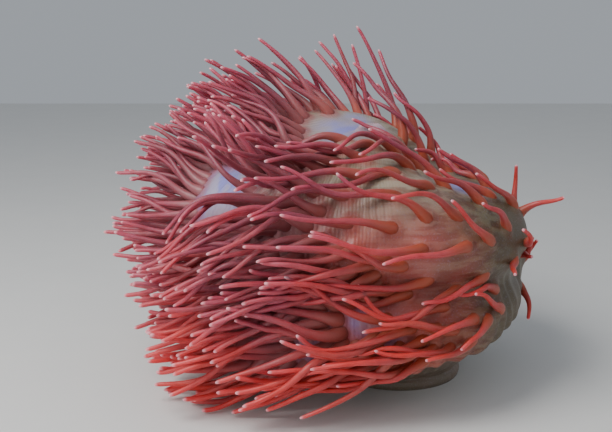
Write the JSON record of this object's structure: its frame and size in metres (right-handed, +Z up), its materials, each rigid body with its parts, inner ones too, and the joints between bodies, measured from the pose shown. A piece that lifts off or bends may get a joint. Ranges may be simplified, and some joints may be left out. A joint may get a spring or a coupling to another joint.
{
  "type": "magnificent sea anemone",
  "caption": "Still life-size sea anemone on a round foot: a lobed disc hangs over a short column, covered in finger-like tentacles swept to one side by a current.",
  "frame": {"origin": "middle of the flat underside of the pedal disc, on the floor", "axes": "+Z up from the foot, the current sweeps the tentacles to -X, -Y is the front that hangs lowest"},
  "size_m": [0.3933, 0.3329, 0.2881],
  "materials": {
    "tentacle_flesh": "wet, soft and slightly translucent, brick red fading to pale pink tips",
    "disc_skin": "wet and soft, cream and beige with fine radial streaks and a violet bloom"
  },
  "bodies": {
    "root": {"lobe_right": "tentacle_flesh", "lobe_back_right": "tentacle_flesh", "lobe_back": "tentacle_flesh", "lobe_back_left": "tentacle_flesh", "lobe_left": "tentacle_flesh", "lobe_front_left": "tentacle_flesh", "lobe_front": "tentacle_flesh", "lobe_front_right": "tentacle_flesh", "oral_disc_centre": "disc_skin", "mouth": "disc_skin", "column": "disc_skin", "pedal_disc": "disc_skin"}
  },
  "joints": []
}
